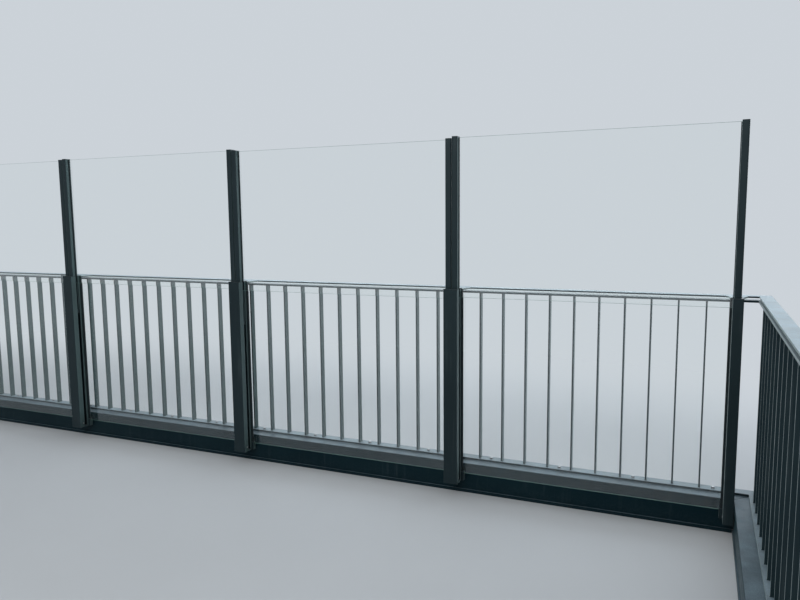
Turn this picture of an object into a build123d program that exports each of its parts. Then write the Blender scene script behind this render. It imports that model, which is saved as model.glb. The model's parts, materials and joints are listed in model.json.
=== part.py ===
from build123d import *
import os

# Balcony railing with a height-adjustable glass windscreen, on a clad kerb.
# Lengths are in millimetres. +X runs right along the front, +Y points outwards and +Z up.
# The origin is on the floor, under the axis of the corner post. The front run goes
# to -X and the return run to -Y.

# Driving dimensions of the kerb
kerb_height = 170.0
kerb_inner = 95.0
kerb_outer = 42.0
coping_overhang = 5.0
sheet = 3.0
coping_fold = 26.0
coping_back_fold = 45.0
coping_bend = 3.0
mitre_gap = 3.0
trim_height = 18.0
trim_depth = 6.0
run_past_end = 40.0
panel_joint = 1.0

# Driving dimensions of the bar railing
bar_pitch = 128.0
bar_width = 8.0
bar_depth = 35.0
post_width = 12.0
chord_width = 60.0
chord_height = 10.0
bar_length = 950.0
handrail_gap = 12.0
handrail_width = 58.0
handrail_height = 8.0
handrail_edge = 1.5
handrail_end = 12.0
handrail_splice = 250.0
front_space_counts = [12, 12, 12, 10]
return_space_counts = [7, 7]

# Driving dimensions of the fixed windscreen posts
bay_pitch = 1415.0
bay_count = 4
first_post_line = 109.0
casing_half = 39.0
casing_outer_side = 7.0
casing_depth = 92.0
casing_side_wall = 4.0
casing_wall = 4.0
casing_web = 3.0
casing_standoff = 6.0
casing_below_coping = 88.0
casing_edge = 2.0
chamber_setback = 17.0
chamber_depth = 52.0
pane_setback = 49.0
slot_gap = 6.0
lip_reach = 8.0
lip_wall = 3.0
collar_height = 4.0
collar_gap = 0.4

# Driving dimensions of the glass and what holds it
glass = 8.0
pane_arris = 0.8
seal_wall = 2.0
pane_end_gap = 2.0
lower_pane_drop = 52.0
setting_block = 4.0
shoe_wall = 3.0
shoe_reach = 16.0
shoe_height = 50.0
shoe_base = 6.0
foot_below_fold = 4.0

# Driving dimensions of the sliding screens
rail_side_gap = 0.75
rail_face_gap = 1.5
rail_wall = 2.5
rail_round = 6.0
rail_top_height = 1968.0
rail_engagement = 235.0
groove_depth = 13.0
groove_end_gap = 1.0
pane_overlap = 44.0
pane_below_rail_top = 1.0
cap_height = 4.0
glide_length = 25.0
glide_gap = 0.4
glide_lead = 3.0
screens_lowered = [0.0, 9.0, 2.0, 6.0]

# Driving dimensions of the handrail brackets
bracket_flare = 26.0
bracket_tab_height = 60.0
bracket_tab_width = 50.0
bracket_tab_wall = 5.0

# Levels and lines that follow from them
coping_edge = kerb_inner + coping_overhang
core_inner = kerb_inner - sheet
core_top = kerb_height - sheet
chord_top = kerb_height + chord_height
top_chord_bottom = chord_top + bar_length
top_chord_top = top_chord_bottom + chord_height
handrail_bottom = top_chord_top + handrail_gap
handrail_top = handrail_bottom + handrail_height
front_length = bar_pitch * sum(front_space_counts)
return_length = bar_pitch * sum(return_space_counts)
front_end = -front_length - run_past_end
return_end = -return_length - run_past_end
casing_rear = -coping_edge - casing_standoff
casing_front = casing_rear - casing_depth
casing_bottom = kerb_height - casing_below_coping
chamber_inner = casing_web / 2
chamber_outer = casing_half - casing_side_wall
chamber_axis = (chamber_inner + chamber_outer) / 2
chamber_front = casing_front + chamber_setback
chamber_rear = chamber_front + chamber_depth
chamber_middle = (chamber_front + chamber_rear) / 2
pane_line = casing_front + pane_setback
pane_slot = glass + 2 * slot_gap
rail_width = chamber_outer - chamber_inner - 2 * rail_side_gap
rail_depth = chamber_depth - 2 * rail_face_gap
rail_length = rail_top_height - handrail_top + rail_engagement
lower_pane_rear = casing_rear - lip_wall - seal_wall
lower_pane_axis = lower_pane_rear - glass / 2
lower_pane_bottom = kerb_height - lower_pane_drop
grip_width = glass + 2 * seal_wall
post_lines = [-first_post_line - place * bay_pitch for place in range(bay_count + 1)]

os.makedirs("parts", exist_ok=True)


def save(piece, name):
    """Label one finished sub-part and write its STEP file."""
    piece.part.label = name
    export_step(piece.part, "parts/" + name + ".step")


def patch(x_limits, y_limits, mode=Mode.ADD):
    """Add or cut a rectangle, given by its limits, in the sketch being built."""
    with Locations((sum(x_limits) / 2, sum(y_limits) / 2)):
        Rectangle(abs(x_limits[1] - x_limits[0]), abs(y_limits[1] - y_limits[0]), mode=mode)


def block(x_limits, y_limits, z_limits, mode=Mode.ADD):
    """Add or cut a rectangular bar, given by its limits, in the part being built."""
    with BuildSketch(Plane.XY.offset(z_limits[0])) as outline:
        patch(x_limits, y_limits)
    extrude(outline.sketch, amount=z_limits[1] - z_limits[0], mode=mode)


# Kerb core, with the return butted against the front run
with BuildPart() as kerb_core_front:
    block((front_end, kerb_outer), (-core_inner, kerb_outer), (0, core_top))
save(kerb_core_front, "kerb_core_front")

with BuildPart() as kerb_core_return:
    block((-core_inner, kerb_outer), (return_end, -core_inner), (0, core_top))
save(kerb_core_return, "kerb_core_return")


def coping_profile(plane):
    """Draw the folded sheet over the kerb: local x points outwards and local y up."""
    outer = kerb_outer + coping_overhang
    with BuildSketch(plane) as folded_sheet:
        with BuildLine():
            FilletPolyline(
                (-coping_edge, kerb_height - coping_fold),
                (-coping_edge, kerb_height),
                (outer, kerb_height),
                (outer, kerb_height - coping_back_fold),
                radius=coping_bend,
            )
            Polyline(
                (outer, kerb_height - coping_back_fold),
                (outer - sheet, kerb_height - coping_back_fold),
                (outer - sheet, core_top),
                (-coping_edge + sheet, core_top),
                (-coping_edge + sheet, kerb_height - coping_fold),
                (-coping_edge, kerb_height - coping_fold),
            )
        make_face()
    return folded_sheet.sketch


# The two copings meet at a mitre through the corner, with a narrow joint between them
mitre = Plane(origin=(0, 0, 0), x_dir=(1, 1, 0), z_dir=(1, -1, 0))

with BuildPart() as coping_front:
    front_plane = Plane(origin=(front_end, 0, 0), x_dir=(0, 1, 0), z_dir=(1, 0, 0))
    extrude(coping_profile(front_plane), amount=-front_end + 2 * coping_edge)
    split(bisect_by=mitre.offset(-mitre_gap / 2), keep=Keep.BOTTOM)
save(coping_front, "kerb_coping_front")

with BuildPart() as coping_return:
    return_plane = Plane(origin=(0, return_end, 0), x_dir=(1, 0, 0), z_dir=(0, -1, 0))
    extrude(coping_profile(return_plane), amount=return_end - 2 * coping_edge)
    split(bisect_by=mitre.offset(mitre_gap / 2), keep=Keep.TOP)
save(coping_return, "kerb_coping_return")

# Sheets on the terrace face of both kerbs, with an open joint in the inner corner
with BuildPart() as kerb_face:
    corner_joint = -kerb_inner - panel_joint
    face_levels = (trim_height, core_top)
    block((front_end, corner_joint), (-kerb_inner, -core_inner), face_levels)
    block((-kerb_inner, -core_inner), (return_end, corner_joint), face_levels)
save(kerb_face, "kerb_face_panels")

with BuildPart() as floor_trim:
    trim_edge = -kerb_inner - trim_depth
    trim_joint = trim_edge - panel_joint
    block((front_end, trim_joint), (trim_edge, -core_inner), (0, trim_height))
    block((trim_edge, -core_inner), (return_end, trim_joint), (0, trim_height))
save(floor_trim, "floor_trim")


def run_block(along_front, run_limits, half_depth, z_limits):
    """Add a bar whose place is given along a run, from the corner post outwards."""
    run = (-run_limits[1], -run_limits[0])
    across = (-half_depth, half_depth)
    if along_front:
        block(run, across, z_limits)
    else:
        block(across, run, z_limits)


def railing_panel(name, along_front, start, spaces, chord_start, posts):
    """Weld one panel from its two chords, its bars and its posts."""
    end = start + spaces * bar_pitch
    chord_limits = (chord_start, end + post_width / 2)
    with BuildPart() as panel:
        run_block(along_front, chord_limits, chord_width / 2, (kerb_height, chord_top))
        run_block(along_front, chord_limits, chord_width / 2, (top_chord_bottom, top_chord_top))
        for number in range(1, spaces):
            place = start + number * bar_pitch
            bar_limits = (place - bar_width / 2, place + bar_width / 2)
            run_block(along_front, bar_limits, bar_depth / 2, (chord_top, top_chord_bottom))
        for place in posts:
            post_limits = (place - post_width / 2, place + post_width / 2)
            run_block(along_front, post_limits, bar_depth / 2, (chord_top, handrail_bottom))
    save(panel, name)


def railing_run(prefix, along_front, space_list):
    """Build the panels of one run, each butted against the one before."""
    start = 0.0
    for number, spaces in enumerate(space_list, 1):
        end = start + spaces * bar_pitch
        posts = [end]
        chord_start = start + post_width / 2
        if number == 1 and along_front:
            posts = [0.0, end]
            chord_start = -chord_width / 2
        elif number == 1:
            chord_start = chord_width / 2
        railing_panel(prefix + str(number), along_front, start, spaces, chord_start, posts)
        start = end


railing_run("railing_panel_", True, front_space_counts)
railing_run("return_panel_", False, return_space_counts)

# Flat-bar handrail. The front length turns the corner and is spliced on the return.
handrail_half = handrail_width / 2

with BuildPart() as handrail_front:
    with BuildSketch(Plane.XY.offset(handrail_bottom)):
        patch((-front_length - handrail_end, handrail_half), (-handrail_half, handrail_half))
        patch((-handrail_half, handrail_half), (-handrail_splice, handrail_half))
    extrude(amount=handrail_height)
    fillet(handrail_front.edges().filter_by(Plane.XY), radius=handrail_edge)
save(handrail_front, "handrail_front")

with BuildPart() as handrail_return:
    handrail_levels = (handrail_bottom, handrail_top)
    return_rail_limits = (-return_length - handrail_end, -handrail_splice)
    block((-handrail_half, handrail_half), return_rail_limits, handrail_levels)
    fillet(handrail_return.edges().filter_by(Plane.XY), radius=handrail_edge)
save(handrail_return, "handrail_return")


def casing_sides(place):
    """Tell on which sides of a post line there is a bay: -1 left, +1 right."""
    if place == 0:
        return [-1]
    if place == bay_count:
        return [1]
    return [-1, 1]


def casing_limits(place):
    """Give the outer faces of a post, from its own line."""
    sides = casing_sides(place)
    left = casing_half if -1 in sides else casing_outer_side
    right = casing_half if 1 in sides else casing_outer_side
    return (-left, right)


def shifted(limits, line):
    """Move a pair of limits by a post line."""
    return (limits[0] + line, limits[1] + line)


def on_side(near, far, side, line):
    """Give the limits between two distances on one side of a post line."""
    return (line + side * near, line + side * far)


# Extruded posts. Each bay has a telescope chamber between two closed hollows, an open
# slot for its upper pane, and a pair of glazing lips for its lower pane.
casing_hollows = [
    (casing_front + casing_wall, chamber_front - casing_wall),
    (chamber_front, chamber_rear),
    (chamber_rear + casing_wall, casing_rear - casing_wall),
]
slot_depth = (pane_line - pane_slot / 2, pane_line + pane_slot / 2)

for place, line in enumerate(post_lines):
    with BuildPart() as casing:
        with BuildSketch(Plane.XY.offset(casing_bottom)) as casing_plan:
            patch(shifted(casing_limits(place), line), (casing_front, casing_rear))
            fillet(casing_plan.vertices(), radius=casing_edge)
            for side in casing_sides(place):
                lip = on_side(chamber_outer, casing_half + lip_reach, side, line)
                patch(lip, (casing_rear - lip_wall, casing_rear))
                grip_front = lower_pane_rear - glass - seal_wall
                patch(lip, (grip_front - lip_wall, grip_front))
            for side in casing_sides(place):
                hollow = on_side(chamber_inner, chamber_outer, side, line)
                for hollow_depth in casing_hollows:
                    patch(hollow, hollow_depth, Mode.SUBTRACT)
                slot = on_side(chamber_axis, casing_half + casing_edge, side, line)
                patch(slot, slot_depth, Mode.SUBTRACT)
        extrude(amount=handrail_top - casing_bottom)
    save(casing, "screen_post_" + str(place + 1))


def rail_outline(line, side, gap):
    """Draw the outer shape of a sliding rail, grown all round by a gap."""
    with Locations((line + side * chamber_axis, chamber_middle)):
        RectangleRounded(rail_width + 2 * gap, rail_depth + 2 * gap, rail_round + gap)


# Collars on the posts: the rails pass through them and the panes through their slots
with BuildPart() as collars:
    for place, line in enumerate(post_lines):
        with BuildSketch(Plane.XY.offset(handrail_top)) as collar_plan:
            patch(shifted(casing_limits(place), line), (casing_front, casing_rear))
            fillet(collar_plan.vertices(), radius=casing_edge)
        extrude(amount=collar_height)
        with BuildSketch(Plane.XY.offset(handrail_top)):
            for side in casing_sides(place):
                rail_outline(line, side, collar_gap)
                slot = on_side(chamber_axis, casing_half + casing_edge, side, line)
                patch(slot, slot_depth)
        extrude(amount=collar_height, mode=Mode.SUBTRACT)
save(collars, "guide_collars")

# Feet: a base under each post, a block to the kerb face and a shoe for each glass corner
foot_bottom = casing_bottom - shoe_base
grip_middle = lower_pane_axis
shoe_front = grip_middle - grip_width / 2 - lip_wall - shoe_wall
shoe_rear = grip_middle + grip_width / 2 + lip_wall + shoe_wall
slot_bottom = lower_pane_bottom - setting_block
shoe_top = foot_bottom + shoe_height
foot_top = kerb_height - coping_fold - foot_below_fold

with BuildPart() as feet:
    for place, line in enumerate(post_lines):
        limits = shifted(casing_limits(place), line)
        block(limits, (casing_front, -kerb_inner), (foot_bottom, casing_bottom))
        block(limits, (casing_rear, -kerb_inner), (foot_bottom, foot_top))
        for side in casing_sides(place):
            shoe = on_side(casing_half, casing_half + shoe_reach, side, line)
            block(shoe, (shoe_front, shoe_rear), (foot_bottom, shoe_top))
            held = on_side(casing_half, casing_half + lip_reach, side, line)
            lips = (shoe_front + shoe_wall, shoe_rear - shoe_wall)
            block(held, lips, (casing_bottom, shoe_top), Mode.SUBTRACT)
            grip = (grip_middle - grip_width / 2, grip_middle + grip_width / 2)
            block(shoe, grip, (slot_bottom, shoe_top), Mode.SUBTRACT)
save(feet, "foot_brackets")

# Lower panes, each between the lips of two posts
for bay in range(bay_count):
    right_edge = post_lines[bay] - casing_half - pane_end_gap
    left_edge = post_lines[bay + 1] + casing_half + pane_end_gap
    with BuildPart() as lower_pane:
        pane_depth = (lower_pane_rear - glass, lower_pane_rear)
        block((left_edge, right_edge), pane_depth, (lower_pane_bottom, handrail_top))
        chamfer(lower_pane.edges(), length=pane_arris)
    save(lower_pane, "lower_pane_" + str(bay + 1))

# Channel seals round the upright edges of the lower panes
with BuildPart() as seals:
    for place, line in enumerate(post_lines):
        for side in casing_sides(place):
            with BuildSketch(Plane.XY.offset(lower_pane_bottom)):
                channel = on_side(casing_half, casing_half + lip_reach, side, line)
                patch(channel, (grip_middle - grip_width / 2, grip_middle + grip_width / 2))
                edge = on_side(casing_half + pane_end_gap, casing_half + lip_reach, side, line)
                patch(edge, (lower_pane_rear - glass, lower_pane_rear), Mode.SUBTRACT)
            extrude(amount=handrail_top - lower_pane_bottom)
save(seals, "lower_pane_seals")

with BuildPart() as setting_blocks:
    for place, line in enumerate(post_lines):
        for side in casing_sides(place):
            seat = on_side(casing_half + lip_reach, casing_half + shoe_reach, side, line)
            seat_depth = (grip_middle - grip_width / 2, grip_middle + grip_width / 2)
            block(seat, seat_depth, (slot_bottom, lower_pane_bottom))
save(setting_blocks, "pane_setting_blocks")

# Brackets from the handrail to the posts, flush with the top of both
with BuildPart() as brackets:
    for place, line in enumerate(post_lines):
        left, right = shifted(casing_limits(place), line)
        with BuildSketch(Plane.XY.offset(handrail_bottom)):
            with BuildLine():
                Polyline(
                    (left, casing_rear),
                    (right, casing_rear),
                    (right + bracket_flare, -handrail_half),
                    (left - bracket_flare, -handrail_half),
                    close=True,
                )
            make_face()
        extrude(amount=handrail_height)
        middle = (left + right) / 2
        half_tab = min(bracket_tab_width, right - left) / 2
        tab = (middle - half_tab, middle + half_tab)
        tab_levels = (handrail_bottom - bracket_tab_height, handrail_bottom)
        block(tab, (casing_rear, casing_rear + bracket_tab_wall), tab_levels)
save(brackets, "handrail_brackets")


def bay_rails(bay):
    """List the post line and the side of it for the two rails of a bay."""
    return [(post_lines[bay], -1), (post_lines[bay + 1], 1)]


# Sliding screens: two grooved rails and the pane between them in each bay
for bay in range(bay_count):
    rail_top = rail_top_height - screens_lowered[bay]
    rail_bottom = rail_top - rail_length
    pane_top = rail_top - pane_below_rail_top
    pane_bottom = handrail_top - pane_overlap - screens_lowered[bay]
    number = str(bay + 1)

    with BuildPart() as rails:
        for line, side in bay_rails(bay):
            inner_face = chamber_axis + rail_width / 2
            with BuildSketch(Plane.XY.offset(rail_bottom)):
                rail_outline(line, side, 0)
                with Locations((line + side * chamber_axis, chamber_middle)):
                    Rectangle(rail_width - 2 * rail_wall, rail_depth - 2 * rail_wall, mode=Mode.SUBTRACT)
                throat = on_side(inner_face - groove_depth - rail_wall, inner_face, side, line)
                throat_half = glass / 2 + rail_wall
                patch(throat, (pane_line - throat_half, pane_line + throat_half))
                groove = on_side(inner_face - groove_depth, inner_face + rail_wall, side, line)
                groove_depths = (pane_line - glass / 2, pane_line + glass / 2)
                patch(groove, groove_depths, Mode.SUBTRACT)
            extrude(amount=rail_length)
    save(rails, "upper_rails_" + number)

    with BuildPart() as upper_pane:
        hidden = groove_depth - groove_end_gap
        right_edge = post_lines[bay] - chamber_axis - rail_width / 2 + hidden
        left_edge = post_lines[bay + 1] + chamber_axis + rail_width / 2 - hidden
        pane_depth = (pane_line - glass / 2, pane_line + glass / 2)
        block((left_edge, right_edge), pane_depth, (pane_bottom, pane_top))
        chamfer(upper_pane.edges(), length=pane_arris)
    save(upper_pane, "upper_pane_" + number)

    with BuildPart() as rail_ends:
        for line, side in bay_rails(bay):
            with BuildSketch(Plane.XY.offset(rail_top)):
                rail_outline(line, side, 0)
            extrude(amount=cap_height)
            chamber = on_side(chamber_inner + glide_gap, chamber_outer - glide_gap, side, line)
            half_depth = chamber_depth / 2 - glide_gap
            glide_depth = (chamber_middle - half_depth, chamber_middle + half_depth)
            block(chamber, glide_depth, (rail_bottom - glide_length, rail_bottom))
        glide_edges = rail_ends.faces().group_by(Axis.Z)[0].edges()
        chamfer(glide_edges, length=glide_lead)
    save(rail_ends, "upper_rail_ends_" + number)
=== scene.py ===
import bmesh
import bpy
import json
import math
from mathutils import Matrix, Vector


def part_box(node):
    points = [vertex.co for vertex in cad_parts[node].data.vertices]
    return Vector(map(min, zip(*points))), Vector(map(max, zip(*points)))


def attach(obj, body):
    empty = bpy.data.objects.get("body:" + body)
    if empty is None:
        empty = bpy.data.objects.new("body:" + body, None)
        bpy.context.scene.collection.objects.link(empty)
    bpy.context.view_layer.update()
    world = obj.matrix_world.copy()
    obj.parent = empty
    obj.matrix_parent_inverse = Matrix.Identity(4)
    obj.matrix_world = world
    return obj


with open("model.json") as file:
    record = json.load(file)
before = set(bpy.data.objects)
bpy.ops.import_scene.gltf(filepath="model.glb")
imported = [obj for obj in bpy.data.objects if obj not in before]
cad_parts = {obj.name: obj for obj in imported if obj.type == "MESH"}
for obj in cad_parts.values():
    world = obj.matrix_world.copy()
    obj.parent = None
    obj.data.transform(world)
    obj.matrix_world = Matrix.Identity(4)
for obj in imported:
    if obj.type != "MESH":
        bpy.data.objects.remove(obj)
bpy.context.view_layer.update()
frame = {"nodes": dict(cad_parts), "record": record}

# Sizes and places that the small pieces follow, in metres
bar_pitch = 0.128
front_panels = (12, 12, 12, 10)
return_panels = (7, 7)
half_bar = 0.004
half_post = 0.006
half_bar_depth = 0.0175
kerb_top = 0.170
chord_top = 0.180
top_chord_bottom = 1.130
# Heights of the painted shade under the handrail, where level faces lose their dust and sky sheen
handrail_shade_heights = (1.10, 1.154)
bay_count = 4
post_boxes = [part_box("screen_post_%d" % number) for number in range(1, bay_count + 2)]
casing_outer_side = 0.007
post_lines = [post_boxes[0][1][0] - casing_outer_side]
post_lines += [(low[0] + high[0]) / 2 for low, high in post_boxes[1:bay_count]]
post_lines.append(post_boxes[bay_count][0][0] + casing_outer_side)
casing_half = 0.039
casing_front = post_boxes[1][0][1]
casing_rear = post_boxes[1][1][1]
lip_reach = (post_boxes[1][1][0] - post_boxes[1][0][0]) / 2 - casing_half
lip_and_seal = 0.005
pane_hidden = 0.012
bracket_tab_wall = 0.005
mitre_gap = 0.003
sealant_ends = (-0.0978, 0.0448)


# Node tools

class Finish:
    """One procedural material, built node by node."""

    def __init__(self, name):
        self.material = bpy.data.materials.new(name)
        self.material.use_nodes = True
        self.tree = self.material.node_tree
        self.tree.nodes.clear()
        self.output = self.node("ShaderNodeOutputMaterial")
        self.place = self.node("ShaderNodeTexCoord").outputs["Object"]

    def node(self, kind, **settings):
        made = self.tree.nodes.new(kind)
        for key, value in settings.items():
            setattr(made, key, value)
        return made

    def feed(self, socket, value):
        if isinstance(value, bpy.types.NodeSocket):
            self.tree.links.new(value, socket)
        elif value is not None:
            socket.default_value = value

    def scaled(self, stretch=(1, 1, 1)):
        mapping = self.node("ShaderNodeMapping")
        self.feed(mapping.inputs["Vector"], self.place)
        mapping.inputs["Scale"].default_value = stretch
        return mapping.outputs["Vector"]

    def noise(self, scale, detail=3.0, rough=0.5, stretch=(1, 1, 1)):
        made = self.node("ShaderNodeTexNoise")
        self.feed(made.inputs["Vector"], self.scaled(stretch))
        made.inputs["Scale"].default_value = scale
        made.inputs["Detail"].default_value = detail
        made.inputs["Roughness"].default_value = rough
        return made.outputs["Fac"]

    def cells(self, scale, stretch=(1, 1, 1)):
        made = self.node("ShaderNodeTexVoronoi")
        self.feed(made.inputs["Vector"], self.scaled(stretch))
        made.inputs["Scale"].default_value = scale
        return made.outputs["Distance"]

    def span(self, value, low, high, to_low=0.0, to_high=1.0):
        made = self.node("ShaderNodeMapRange", interpolation_type="SMOOTHSTEP")
        self.feed(made.inputs["Value"], value)
        made.inputs["From Min"].default_value = low
        made.inputs["From Max"].default_value = high
        made.inputs["To Min"].default_value = to_low
        made.inputs["To Max"].default_value = to_high
        return made.outputs["Result"]

    def combine(self, kind, first, second):
        """Join two numbers with one arithmetic operation."""
        made = self.node("ShaderNodeMath", operation=kind)
        self.feed(made.inputs[0], first)
        self.feed(made.inputs[1], second)
        return made.outputs[0]

    def blend(self, share, first, second):
        made = self.node("ShaderNodeMix", data_type="RGBA")
        self.feed(made.inputs["Factor"], share)
        sockets = [s for s in made.inputs if s.type == "RGBA"]
        for socket, colour in zip(sockets, (first, second)):
            self.feed(socket, (*colour, 1.0) if isinstance(colour, tuple) else colour)
        return [s for s in made.outputs if s.type == "RGBA"][0]

    def facing(self):
        """The surface's own direction, one number for each axis."""
        split = self.node("ShaderNodeSeparateXYZ")
        self.feed(split.inputs[0], self.node("ShaderNodeNewGeometry").outputs["Normal"])
        return split.outputs

    def height(self):
        """The height above the floor."""
        split = self.node("ShaderNodeSeparateXYZ")
        self.feed(split.inputs[0], self.place)
        return split.outputs[2]

    def rounded(self, radius):
        made = self.node("ShaderNodeBevel", samples=4)
        made.inputs["Radius"].default_value = radius
        return made.outputs["Normal"]

    def bump(self, height, strength, distance, under=None):
        made = self.node("ShaderNodeBump")
        self.feed(made.inputs["Height"], height)
        made.inputs["Strength"].default_value = strength
        made.inputs["Distance"].default_value = distance
        self.feed(made.inputs["Normal"], under)
        return made.outputs["Normal"]

    def surface(self, colour, roughness, normal=None, **constants):
        shader = self.node("ShaderNodeBsdfPrincipled")
        base = (*colour, 1.0) if isinstance(colour, tuple) else colour
        self.feed(shader.inputs["Base Color"], base)
        self.feed(shader.inputs["Roughness"], roughness)
        self.feed(shader.inputs["Normal"], normal)
        for name, value in constants.items():
            shader.inputs[name.replace("_", " ")].default_value = value
        return shader.outputs[0]

    def done(self, shader):
        self.feed(self.output.inputs["Surface"], shader)
        return self.material


def powder_coat(name, dark, light, dust_and_sheen_shares, edge, gloss, streak=0.12, waviness=0.0,
                sunlit_side_colour=None, tint=(0.78, 0.95, 1.0), sheen=0.5):
    """Satin anthracite powder coat with run-off marks, dust and painted sky sheen on open level faces,
    most high up, painted shade under the handrail, and, when a side colour is given, painted sunlight on
    faces turned along the run.
    """
    coat = Finish(name)
    clouds = coat.noise(2.2, 4.0, 0.55)
    colour = coat.blend(coat.span(clouds, 0.3, 0.7), dark, light)
    streaks = coat.noise(34.0, 4.0, 0.6, (1.0, 1.0, 0.04))
    broken = coat.span(coat.noise(5.0, 3.0, 0.6), 0.35, 0.65)
    streak_share = coat.combine("MULTIPLY", coat.span(streaks, 0.52, 0.78, 0.0, streak), broken)
    colour = coat.blend(streak_share, colour, (0.15, 0.18, 0.19))
    facing = coat.facing()
    # Painted sunlight: faces turned along the x axis, either way, take a lighter colour.
    if sunlit_side_colour:
        sunlit_side = coat.span(coat.combine("ABSOLUTE", facing[0], 0.0), 0.80, 0.97)
        colour = coat.blend(sunlit_side, colour, sunlit_side_colour)
    # Open level faces turn pale blue-grey, more of it high up: partly real dust, partly painted sky
    # sheen on the tops.
    level = coat.span(facing[2], 0.92, 0.995)
    # Painted shade under the handrail: between these heights level faces keep only a tenth of their
    # lightening.
    low, high = handrail_shade_heights
    handrail_shade = coat.combine("MULTIPLY", coat.span(coat.height(), low, low + 0.02),
                             coat.span(coat.height(), high - 0.004, high, 1.0, 0.0))
    level = coat.combine("MULTIPLY", level, coat.span(handrail_shade, 0.0, 1.0, 1.0, 0.1))
    film = coat.span(coat.noise(7.0, 5.0, 0.65), 0.28, 0.72, 0.45, 1.0)
    specks = coat.span(coat.noise(260.0, 2.0, 0.6), 0.42, 0.7, 0.7, 1.0)
    dust = coat.combine("MULTIPLY", coat.combine("MULTIPLY", level, film), specks)
    dust_share = coat.span(coat.height(), 0.3, 1.15, *dust_and_sheen_shares)
    colour = coat.blend(coat.combine("MULTIPLY", dust, dust_share), colour, (0.33, 0.44, 0.52))
    splash = coat.span(coat.height(), 0.01, 0.11, 0.09, 0.0)
    splash = coat.combine("MULTIPLY", splash, coat.span(coat.noise(120.0, 5.0, 0.7), 0.40, 0.75))
    colour = coat.blend(splash, colour, (0.11, 0.14, 0.155))
    roughness = coat.span(coat.noise(14.0, 4.0, 0.6), 0.3, 0.7, 0.41, 0.50)
    roughness = coat.combine("ADD", roughness, coat.combine("MULTIPLY", dust, 0.10))
    roughness = coat.combine("ADD", roughness, coat.combine("MULTIPLY", splash, 0.5))
    normal = coat.rounded(edge)
    grain = coat.noise(1100.0, 2.0, 0.5)
    normal = coat.bump(grain, 0.035, 0.0004, normal)
    if waviness:
        swell = coat.noise(3.0, 2.0, 0.5, (1.0, 1.0, 2.0))
        normal = coat.bump(swell, waviness, 0.01, normal)
    return coat.done(coat.surface(colour, roughness, normal,
                                  Specular_IOR_Level=gloss, Specular_Tint=(*tint, 1.0),
                                  Sheen_Weight=sheen, Sheen_Roughness=0.4, Sheen_Tint=(*tint, 1.0)))


def clear_glass():
    """Toughened float glass: clear faces, greenish ground edges lightened by a painted glow, a trace of
    dust low down.
    """
    pane = Finish("clear_toughened_glass")
    facing = pane.facing()
    side = pane.combine("ABSOLUTE", facing[1], 0.0)
    on_edge = pane.span(side, 0.80, 0.95, 1.0, 0.0)
    smears = pane.noise(5.0, 5.0, 0.6, (1.0, 1.0, 0.35))
    roughness = pane.span(smears, 0.50, 0.85, 0.0, 0.012)
    body = pane.surface((0.975, 0.990, 0.984), roughness, None, Transmission_Weight=1.0, IOR=1.5)
    # Ground edges: greenish glass tone, made light as a painted glow of light piped through the pane.
    ground = pane.noise(420.0, 3.0, 0.6)
    edge_tint_and_glow = pane.blend(pane.span(ground, 0.3, 0.7), (0.10, 0.20, 0.18), (0.17, 0.29, 0.265))
    edge = pane.surface(edge_tint_and_glow, 0.22, None, IOR=1.5)
    film = pane.surface((0.72, 0.74, 0.73), 0.8)
    low = pane.span(pane.height(), 0.12, 0.34, 0.035, 0.0)
    splash = pane.span(pane.noise(60.0, 4.0, 0.65), 0.45, 0.75)
    dust_share = pane.combine("MULTIPLY", low, splash)
    dusty = pane.node("ShaderNodeMixShader")
    pane.feed(dusty.inputs[0], dust_share)
    pane.feed(dusty.inputs[1], body)
    pane.feed(dusty.inputs[2], film)
    mixed = pane.node("ShaderNodeMixShader")
    pane.feed(mixed.inputs[0], on_edge)
    pane.feed(mixed.inputs[1], dusty.outputs[0])
    pane.feed(mixed.inputs[2], edge)
    return pane.done(mixed.outputs[0])


def cast_concrete():
    """Rough cast kerb concrete with pores and a darker damp foot."""
    kerb = Finish("cast_kerb_concrete")
    clouds = kerb.noise(4.0, 6.0, 0.65)
    colour = kerb.blend(kerb.span(clouds, 0.3, 0.7), (0.22, 0.215, 0.205), (0.40, 0.395, 0.38))
    damp = kerb.span(kerb.height(), 0.0, 0.06, 0.45, 0.0)
    colour = kerb.blend(damp, colour, (0.13, 0.13, 0.125))
    pores = kerb.span(kerb.cells(110.0), 0.03, 0.16)
    colour = kerb.blend(kerb.span(pores, 0.0, 1.0, 0.35, 0.0), colour, (0.09, 0.09, 0.09))
    normal = kerb.bump(kerb.noise(180.0, 5.0, 0.7), 0.5, 0.002)
    normal = kerb.bump(pores, 0.4, 0.002, normal)
    return kerb.done(kerb.surface(colour, 0.9, normal))


def dark_moulding(name, colour, other, roughness, grain):
    """Matt black moulded plastic or rubber with a fine surface grain."""
    part = Finish(name)
    clouds = part.noise(30.0, 3.0, 0.6)
    shade = part.blend(part.span(clouds, 0.3, 0.7), colour, other)
    bloom = part.span(part.noise(90.0, 4.0, 0.7), 0.55, 0.8, 0.0, 0.08)
    shade = part.blend(bloom, shade, (0.085, 0.105, 0.115))
    rough = part.span(clouds, 0.2, 0.8, roughness - 0.08, roughness + 0.08)
    normal = part.bump(part.noise(grain, 2.0, 0.5), 0.15, 0.0005, part.rounded(0.0006))
    return part.done(part.surface(shade, rough, normal,
                                  Specular_IOR_Level=0.3, Specular_Tint=(0.75, 0.93, 1.0, 1.0)))


def bare_steel():
    """Stainless screws and washers with turned marks and a dull weathered film."""
    steel = Finish("weathered_stainless")
    tone = steel.noise(300.0, 4.0, 0.6)
    colour = steel.blend(steel.span(tone, 0.3, 0.7), (0.20, 0.21, 0.22), (0.42, 0.43, 0.44))
    roughness = steel.span(steel.noise(500.0, 3.0, 0.6), 0.3, 0.7, 0.30, 0.55)
    normal = steel.bump(steel.noise(1500.0, 2.0, 0.5), 0.1, 0.0003, steel.rounded(0.0005))
    return steel.done(steel.surface(colour, roughness, normal, Metallic=1.0))


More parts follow.
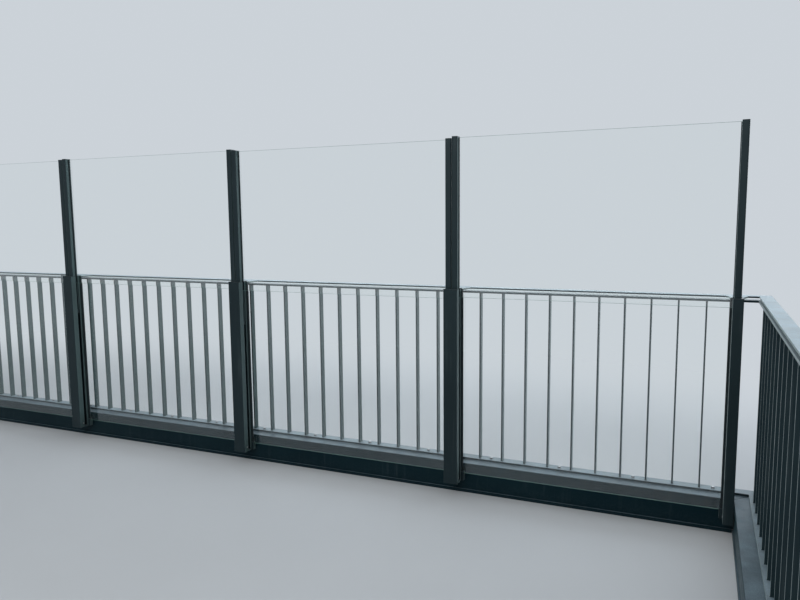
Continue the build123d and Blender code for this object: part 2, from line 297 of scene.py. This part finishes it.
railing_coat = powder_coat("railing_powder_coat", (0.0045, 0.0125, 0.0165), (0.0080, 0.0180, 0.0225),
                           dust_and_sheen_shares=(0.56, 0.92), edge=0.0007, gloss=0.28,
                           sunlit_side_colour=(0.045, 0.072, 0.072), sheen=0.30)
profile_coat = powder_coat("profile_powder_coat", (0.0050, 0.0115, 0.0145), (0.0080, 0.0165, 0.0200),
                           dust_and_sheen_shares=(0.30, 0.30), edge=0.0009, gloss=0.23,
                           sunlit_side_colour=(0.050, 0.080, 0.082), sheen=0.15)
sheet_coat = powder_coat("sheet_powder_coat", (0.0012, 0.0075, 0.0115), (0.0030, 0.0110, 0.0150),
                         dust_and_sheen_shares=(0.42, 0.42), edge=0.0015, gloss=0.16, streak=0.10, waviness=0.04,
                         tint=(0.45, 0.85, 1.0), sheen=0.05)
glass = clear_glass()
concrete = cast_concrete()
end_plastic = dark_moulding("black_end_plastic", (0.009, 0.014, 0.017), (0.018, 0.026, 0.030),
                            roughness=0.5, grain=700.0)
seal_rubber = dark_moulding("black_seal_rubber", (0.0030, 0.0055, 0.0068), (0.0060, 0.0098, 0.0115),
                            roughness=0.72, grain=1400.0)
stainless = bare_steel()

finish_of_slot = {
    "kerb_concrete": concrete,
    "coping_sheet": sheet_coat,
    "railing_paint": railing_coat,
    "profile_coating": profile_coat,
    "dark_plastic": end_plastic,
    "clear_glass": glass,
    "seal_rubber": seal_rubber,
}
for entry in frame["record"]["subparts"]:
    node = frame["nodes"][entry["node"]]
    node.data.materials.clear()
    node.data.materials.append(finish_of_slot[entry["material_slot"]])
    if entry["material_slot"] == "clear_glass":
        node.visible_shadow = False


# Small pieces

def link(tree, source, target):
    """Join two sockets, or set the target to a plain value."""
    if isinstance(source, bpy.types.NodeSocket):
        tree.links.new(source, target)
    else:
        target.default_value = source


def made_piece(name, mesh, finish, body="root"):
    """Put a finished mesh in the scene as a piece of the object."""
    mesh.materials.clear()
    mesh.materials.append(finish)
    made = bpy.data.objects.new(name, mesh)
    bpy.context.scene.collection.objects.link(made)
    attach(made, body)
    return made


def grown_mesh(name, host_mesh, tree, sizes):
    """Run a node group on a host mesh and keep the result as a plain mesh."""
    host = bpy.data.objects.new(name + "_host", host_mesh)
    bpy.context.scene.collection.objects.link(host)
    grower = host.modifiers.new("grow", "NODES")
    grower.node_group = tree
    for item in tree.interface.items_tree:
        if item.name in sizes:
            grower[item.identifier] = sizes[item.name]
    evaluated = host.evaluated_get(bpy.context.evaluated_depsgraph_get())
    mesh = bpy.data.meshes.new_from_object(evaluated)
    mesh.name = name
    bpy.data.objects.remove(host)
    return mesh


def new_tree(name, sizes):
    """Start a node group with a geometry input and named sizes."""
    tree = bpy.data.node_groups.new(name, "GeometryNodeTree")
    tree.interface.new_socket("Geometry", in_out="INPUT", socket_type="NodeSocketGeometry")
    for size, value in sizes.items():
        kind = "NodeSocketInt" if isinstance(value, int) else "NodeSocketFloat"
        tree.interface.new_socket(size, in_out="INPUT", socket_type=kind).default_value = value
    tree.interface.new_socket("Geometry", in_out="OUTPUT", socket_type="NodeSocketGeometry")
    given = tree.nodes.new("NodeGroupInput")
    return tree, given


def finish_tree(tree, geometry, finish):
    """End a node group in plain meshes that carry one finish."""
    real = tree.nodes.new("GeometryNodeRealizeInstances")
    link(tree, geometry, real.inputs[0])
    paint = tree.nodes.new("GeometryNodeSetMaterial")
    paint.inputs["Material"].default_value = finish
    link(tree, real.outputs[0], paint.inputs["Geometry"])
    result = tree.nodes.new("NodeGroupOutput")
    link(tree, paint.outputs[0], result.inputs[0])
    return tree


def open_sockets(node, name):
    """Give the sockets of one name that the node shows in its present mode."""
    return [s for s in list(node.inputs) + list(node.outputs) if s.name == name and s.enabled]


def fixings_tree(finish):
    """Node group that sets a washer and a screw head on every point, facing its own way."""
    sizes = {"Sides": 6, "Head Radius": 0.0098, "Head Height": 0.0052, "Crown Height": 0.0012,
             "Crown Share": 0.84, "Washer Radius": 0.0105, "Washer Height": 0.002, "Seed": 7}
    tree, given = new_tree("fixings", sizes)

    def maths(operation, first, second):
        made = tree.nodes.new("ShaderNodeMath")
        made.operation = operation
        link(tree, first, made.inputs[0])
        link(tree, second, made.inputs[1])
        return made.outputs[0]

    def lifted(mesh, height):
        at = tree.nodes.new("ShaderNodeCombineXYZ")
        link(tree, height, at.inputs["Z"])
        made = tree.nodes.new("GeometryNodeTransform")
        link(tree, mesh, made.inputs["Geometry"])
        link(tree, at.outputs[0], made.inputs["Translation"])
        return made.outputs[0]

    def drum(sides, radius, height):
        made = tree.nodes.new("GeometryNodeMeshCylinder")
        link(tree, sides, made.inputs["Vertices"])
        link(tree, radius, made.inputs["Radius"])
        link(tree, height, made.inputs["Depth"])
        return made.outputs["Mesh"]

    size = given.outputs
    half_washer = maths("MULTIPLY", size["Washer Height"], 0.5)
    washer = lifted(drum(28, size["Washer Radius"], size["Washer Height"]), half_washer)
    head_middle = maths("MULTIPLY_ADD", size["Head Height"], 0.5)
    link(tree, size["Washer Height"], head_middle.node.inputs[2])
    head = lifted(drum(size["Sides"], size["Head Radius"], size["Head Height"]), head_middle)
    crown = tree.nodes.new("GeometryNodeMeshCone")
    link(tree, size["Sides"], crown.inputs["Vertices"])
    link(tree, size["Head Radius"], crown.inputs["Radius Bottom"])
    link(tree, maths("MULTIPLY", size["Head Radius"], size["Crown Share"]), crown.inputs["Radius Top"])
    link(tree, size["Crown Height"], crown.inputs["Depth"])
    head_top = maths("ADD", size["Washer Height"], size["Head Height"])
    screw = tree.nodes.new("GeometryNodeJoinGeometry")
    for part in (washer, head, lifted(crown.outputs["Mesh"], head_top)):
        link(tree, part, screw.inputs[0])
    facing = tree.nodes.new("GeometryNodeInputNamedAttribute")
    facing.data_type = "FLOAT_VECTOR"
    facing.inputs["Name"].default_value = "facing"
    upright = tree.nodes.new("FunctionNodeAlignRotationToVector")
    upright.axis = "Z"
    link(tree, open_sockets(facing, "Attribute")[0], upright.inputs["Vector"])
    turn = tree.nodes.new("FunctionNodeRandomValue")
    turn.data_type = "FLOAT"
    open_sockets(turn, "Min")[0].default_value = 0.0
    open_sockets(turn, "Max")[0].default_value = math.tau
    link(tree, size["Seed"], turn.inputs["Seed"])
    about = tree.nodes.new("FunctionNodeAxisAngleToRotation")
    about.inputs["Axis"].default_value = (0.0, 0.0, 1.0)
    link(tree, open_sockets(turn, "Value")[0], about.inputs["Angle"])
    spun = tree.nodes.new("FunctionNodeRotateRotation")
    spun.rotation_space = "LOCAL"
    link(tree, upright.outputs[0], spun.inputs["Rotation"])
    link(tree, about.outputs[0], spun.inputs["Rotate By"])
    placed = tree.nodes.new("GeometryNodeInstanceOnPoints")
    link(tree, size["Geometry"], placed.inputs["Points"])
    link(tree, screw.outputs[0], placed.inputs["Instance"])
    link(tree, spun.outputs[0], placed.inputs["Rotation"])
    return finish_tree(tree, placed.outputs[0], finish)


def points_mesh(name, places):
    """Make loose points that remember which way their screw faces."""
    mesh = bpy.data.meshes.new(name)
    mesh.from_pydata([place for place, _ in places], [], [])
    facing = mesh.attributes.new("facing", "FLOAT_VECTOR", "POINT")
    for number, (_, direction) in enumerate(places):
        facing.data[number].vector = direction
    return mesh


def weld_tree(finish):
    """Node group that lays a rippled weld bead along every edge loop."""
    sizes = {"Bead Radius": 0.0022, "Step": 0.004, "Ripple": 0.35}
    tree, given = new_tree("weld_beads", sizes)
    size = given.outputs
    curve = tree.nodes.new("GeometryNodeMeshToCurve")
    link(tree, size["Geometry"], curve.inputs[0])
    evened = tree.nodes.new("GeometryNodeResampleCurve")
    evened.mode = "LENGTH"
    link(tree, curve.outputs[0], evened.inputs["Curve"])
    link(tree, size["Step"], evened.inputs["Length"])
    ripple = tree.nodes.new("ShaderNodeTexNoise")
    ripple.inputs["Scale"].default_value = 190.0
    spread = tree.nodes.new("ShaderNodeMapRange")
    link(tree, ripple.outputs["Fac"], spread.inputs["Value"])
    spread.inputs["From Min"].default_value = 0.3
    spread.inputs["From Max"].default_value = 0.7
    low = tree.nodes.new("ShaderNodeMath")
    low.operation = "SUBTRACT"
    low.inputs[0].default_value = 1.0
    link(tree, size["Ripple"], low.inputs[1])
    link(tree, low.outputs[0], spread.inputs["To Min"])
    scaled = tree.nodes.new("ShaderNodeMath")
    scaled.operation = "MULTIPLY"
    link(tree, spread.outputs["Result"], scaled.inputs[0])
    link(tree, size["Bead Radius"], scaled.inputs[1])
    outline = tree.nodes.new("GeometryNodeCurvePrimitiveCircle")
    outline.inputs["Resolution"].default_value = 6
    outline.inputs["Radius"].default_value = 1.0
    bead = tree.nodes.new("GeometryNodeCurveToMesh")
    link(tree, evened.outputs[0], bead.inputs["Curve"])
    link(tree, outline.outputs[0], bead.inputs["Profile Curve"])
    if "Scale" in bead.inputs:
        link(tree, scaled.outputs[0], bead.inputs["Scale"])
    return finish_tree(tree, bead.outputs[0], finish)


def loops_mesh(name, loops):
    """Make a mesh of closed edge loops, each given by its corners."""
    mesh = bpy.data.meshes.new(name)
    corners, edges = [], []
    for loop in loops:
        first = len(corners)
        corners.extend(loop)
        edges.extend((first + i, first + (i + 1) % len(loop)) for i in range(len(loop)))
    mesh.from_pydata(corners, edges, [])
    return mesh


def bmesh_piece(name, fill, finish, body="root"):
    """Fill a bmesh with a function and keep it as a piece."""
    work = bmesh.new()
    fill(work)
    bmesh.ops.recalc_face_normals(work, faces=work.faces)
    mesh = bpy.data.meshes.new(name)
    work.to_mesh(mesh)
    work.free()
    return made_piece(name, mesh, finish, body)


def running_sums(counts):
    """Give the places where the panels start and end, in bar spaces."""
    return [sum(counts[:n]) for n in range(len(counts) + 1)]


def bar_places():
    """List the centre and half size of every bar and post foot on the two runs."""
    places = []
    for n in range(sum(front_panels) + 1):
        half = half_post if n in running_sums(front_panels) else half_bar
        places.append((-bar_pitch * n, 0.0, half, half_bar_depth))
    for n in range(1, sum(return_panels) + 1):
        half = half_post if n in running_sums(return_panels) else half_bar
        places.append((0.0, -bar_pitch * n, half_bar_depth, half))
    return places


def weld_loops():
    """Give the rectangles where bars meet the two chords."""
    loops = []
    for x, y, half_x, half_y in bar_places():
        corners = [(x - half_x, y - half_y), (x + half_x, y - half_y),
                   (x + half_x, y + half_y), (x - half_x, y + half_y)]
        for level in (chord_top, top_chord_bottom):
            loops.append([(*corner, level) for corner in corners])
    return loops


def chord_screw_places():
    """Give the middles of every third gap between bars, on top of the lower chord."""
    gaps = []
    for start, count in zip(running_sums(front_panels), front_panels):
        gaps.extend((-bar_pitch * (start + n + 0.5), 0.0) for n in range(1, count, 3))
    gaps.extend((0.0, -bar_pitch * (n + 0.5)) for n in range(1, sum(return_panels), 3))
    return [((x, y, chord_top), (0.0, 0.0, 1.0)) for x, y in gaps]


def bay_sides():
    """List each post line with the side on which it holds a bay: -1 left, +1 right."""
    sides = []
    for place, line in enumerate(post_lines):
        if place < bay_count:
            sides.append((line, -1))
        if place > 0:
            sides.append((line, 1))
    return sides


def flank_screw_places():
    """Give the small screw low on the flank of each post, before its slot."""
    setback, height = 0.029, 0.104
    return [((line + side * casing_half, casing_front + setback, height), (float(side), 0.0, 0.0))
            for line, side in bay_sides()]


def tab_screw_places():
    """Give the two screws in the tab of each handrail bracket, behind the posts."""
    height, spread = 1.118, 0.015
    end_shift = (casing_half - casing_outer_side) / 2
    places = []
    for place, line in enumerate(post_lines):
        middle = line + {0: -end_shift, bay_count: end_shift}.get(place, 0.0)
        for off in (-spread, spread):
            places.append(((middle + off, casing_rear + bracket_tab_wall, height), (0.0, 1.0, 0.0)))
    return places


def upright_strip(work, plan, bottom, top):
    """Add an upright strip with the given plan outline."""
    feet = [work.verts.new((x, y, bottom)) for x, y in plan]
    heads = [work.verts.new((x, y, top)) for x, y in plan]
    work.faces.new(feet)
    work.faces.new(heads)
    for i in range(len(plan)):
        j = (i + 1) % len(plan)
        work.faces.new((feet[i], feet[j], heads[j], heads[i]))


def upper_gaskets(bay):
    """Gaskets along the two rails of an upper pane: a thin lip before it, a thick one behind."""
    low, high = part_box("upper_pane_%d" % bay)
    front, rear = low[1], high[1]

    def fill(work):
        for edge, side in ((high[0] - pane_hidden, -1), (low[0] + pane_hidden, 1)):
            def out(distance):
                return edge + side * distance
            thin = [(out(0), front), (out(0.0030), front), (out(0.0030), front - 0.0006),
                    (out(0.0010), front - 0.0020), (out(0), front - 0.0020)]
            thick = [(out(0), rear), (out(0.0034), rear), (out(0.0034), rear + 0.0010),
                     (out(0.0014), rear + 0.0036), (out(0.0010), rear + 0.0054), (out(0), rear + 0.0054)]
            for plan in (thin, thick):
                upright_strip(work, plan, low[2] + 0.002, high[2] - 0.002)
    name, body = "upper_pane_gaskets_%d" % bay, "upper_screen_%d" % bay
    return bmesh_piece(name, fill, seal_rubber, body)


def fill_lower_beads(work):
    """Rubber beads that cover the front lips of the posts and press on the lower panes."""
    pane_low, pane_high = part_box("lower_pane_1")
    glass_front = pane_low[1]
    lip_face = glass_front - lip_and_seal
    above_shoe, below_top = 0.009, 0.0006
    for line, side in bay_sides():
        def out(distance):
            return line + side * (casing_half + distance)
        plan = [(out(0.0001), lip_face), (out(lip_reach + 0.0001), lip_face),
                (out(lip_reach + 0.0001), glass_front),
                (out(lip_reach + 0.0030), glass_front), (out(lip_reach + 0.0024), glass_front - 0.0030),
                (out(lip_reach + 0.0010), lip_face - 0.0012), (out(0.0012), lip_face - 0.0016),
                (out(0.0001), lip_face - 0.0016)]
        upright_strip(work, plan, pane_low[2] + above_shoe, pane_high[2] - below_top)


small_head = {"Sides": 20, "Head Radius": 0.0042, "Head Height": 0.0012, "Crown Height": 0.0014,
              "Crown Share": 0.55, "Washer Radius": 0.0052, "Washer Height": 0.0006, "Seed": 3}
tab_head = {"Sides": 6, "Head Radius": 0.0073, "Head Height": 0.0040, "Crown Height": 0.0009,
            "Crown Share": 0.84, "Washer Radius": 0.0080, "Washer Height": 0.0015, "Seed": 5}
fixings = fixings_tree(stainless)
for name, places, sizes, slot in (("chord_screws", chord_screw_places(), {}, "railing_paint"),
                                  ("post_screws", flank_screw_places(), small_head, "profile_coating"),
                                  ("bracket_screws", tab_screw_places(), tab_head, "railing_paint")):
    mesh = grown_mesh(name, points_mesh(name + "_points", places), fixings, sizes)
    made_piece(name, mesh, stainless)

welds = grown_mesh("bar_welds", loops_mesh("bar_weld_loops", weld_loops()), weld_tree(railing_coat), {})
made_piece("bar_welds", welds, railing_coat)

for bay in range(1, bay_count + 1):
    upper_gaskets(bay)
bmesh_piece("lower_pane_beads", fill_lower_beads, seal_rubber)


def fill_mitre(work):
    """Sealant that fills the narrow joint of the coping at the corner."""
    inner, outer = sealant_ends
    half = mitre_gap / 2 * math.sqrt(2)
    plan = [(inner - half, inner), (inner, inner - half), (outer + half, outer), (outer, outer + half)]
    upright_strip(work, plan, kerb_top - 0.0029, kerb_top - 0.0009)


bmesh_piece("coping_joint_sealant", fill_mitre, seal_rubber)


# Camera at the photograph's viewing angle
camera_data = bpy.data.cameras.new("terrace_view")
picture_width, focal_length = 800.0, 694.11
camera_data.sensor_width = 36.0
camera_data.lens = focal_length / picture_width * camera_data.sensor_width
camera = bpy.data.objects.new("terrace_view", camera_data)
bpy.context.scene.collection.objects.link(camera)
yaw, pitch, roll = (math.radians(angle) for angle in (-23.406, -6.745, -0.530))
ahead = Vector((math.sin(yaw) * math.cos(pitch), math.cos(yaw) * math.cos(pitch), math.sin(pitch)))
level_right = Vector((math.cos(yaw), -math.sin(yaw), 0.0))
level_up = level_right.cross(ahead)
right = level_right * math.cos(roll) + level_up * math.sin(roll)
up = level_up * math.cos(roll) - level_right * math.sin(roll)
turned = Matrix((right, up, -ahead)).transposed().to_4x4()
camera.matrix_world = Matrix.Translation((-0.2954, -3.7144, 1.5472)) @ turned
bpy.context.scene.camera = camera

# Pale backdrop for the eye, gloss and glass; plain soft light for everything else
backdrop_colour = (0.60, 0.645, 0.69)
world = bpy.data.worlds.new("studio")
bpy.context.scene.world = world
world.use_nodes = True
nodes, links = world.node_tree.nodes, world.node_tree.links
nodes.clear()
path = nodes.new("ShaderNodeLightPath")
seen = nodes.new("ShaderNodeMath")
seen.operation = "MAXIMUM"
links.new(path.outputs["Is Camera Ray"], seen.inputs[0])
links.new(path.outputs["Is Glossy Ray"], seen.inputs[1])
seen_too = nodes.new("ShaderNodeMath")
seen_too.operation = "MAXIMUM"
links.new(seen.outputs[0], seen_too.inputs[0])
links.new(path.outputs["Is Transmission Ray"], seen_too.inputs[1])
backdrop = nodes.new("ShaderNodeBackground")
backdrop.inputs["Color"].default_value = (*backdrop_colour, 1.0)
backdrop.inputs["Strength"].default_value = 1.0
ambient = nodes.new("ShaderNodeBackground")
ambient.inputs["Color"].default_value = (0.93, 0.97, 1.0, 1.0)
ambient.inputs["Strength"].default_value = 0.35
either = nodes.new("ShaderNodeMixShader")
links.new(seen_too.outputs[0], either.inputs[0])
links.new(ambient.outputs[0], either.inputs[1])
links.new(backdrop.outputs[0], either.inputs[2])
sky = nodes.new("ShaderNodeOutputWorld")
links.new(either.outputs[0], sky.inputs[0])


def softbox(name, place, target, width, height, power, colour=(1, 1, 1)):
    """A soft rectangular lamp that the camera and the glass don't see."""
    lamp = bpy.data.lights.new(name, "AREA")
    lamp.shape = "RECTANGLE"
    lamp.size, lamp.size_y = width, height
    lamp.energy = power
    lamp.color = colour
    made = bpy.data.objects.new(name, lamp)
    bpy.context.scene.collection.objects.link(made)
    made.location = place
    made.rotation_euler = (Vector(target) - Vector(place)).to_track_quat("-Z", "Y").to_euler()
    made.visible_camera = False
    made.visible_transmission = False
    return made


softbox("front_softbox", (-2.2, -6.2, 4.4), (-2.2, 0.0, 0.8), 5.0, 3.0, 230.0, (1.0, 0.985, 0.96))
softbox("sky_softbox", (-1.5, 6.0, 3.2), (-1.5, 0.0, 0.6), 14.0, 3.6, 400.0, (0.84, 0.92, 1.0))
softbox("side_softbox", (6.5, 6.5, 1.9), (-2.5, 0.0, 0.8), 7.0, 4.0, 150.0, (0.86, 0.95, 1.0))

# Floor
floor_mesh = bpy.data.meshes.new("studio_floor")
work = bmesh.new()
bmesh.ops.create_grid(work, x_segments=1, y_segments=1, size=40.0)
work.to_mesh(floor_mesh)
work.free()
floor = bpy.data.objects.new("studio_floor", floor_mesh)
bpy.context.scene.collection.objects.link(floor)
ground = Finish("pale_floor")
spread = ground.node("ShaderNodeVectorMath", operation="LENGTH")
centred = ground.node("ShaderNodeMapping")
ground.feed(centred.inputs["Vector"], ground.place)
centred.inputs["Location"].default_value = (1.45, 0.9, 0.0)
centred.inputs["Scale"].default_value = (0.5, 1.0, 1.0)
ground.feed(spread.inputs[0], centred.outputs[0])
far = ground.span(spread.outputs["Value"], 1.9, 4.8)
patches = ground.span(ground.noise(1.2, 3.0, 0.5), 0.3, 0.7)
tone = ground.blend(patches, (0.51, 0.535, 0.56), (0.52, 0.545, 0.57))
floor_paint = ground.surface(tone, 0.8, None, Specular_IOR_Level=0.2)
glow = ground.node("ShaderNodeEmission")
glow.inputs["Color"].default_value = (*backdrop_colour, 1.0)
fade = ground.node("ShaderNodeMixShader")
ground.feed(fade.inputs[0], far)
ground.feed(fade.inputs[1], floor_paint)
ground.feed(fade.inputs[2], glow.outputs[0])
floor.data.materials.append(ground.done(fade.outputs[0]))

bpy.context.scene.view_settings.view_transform = "Standard"
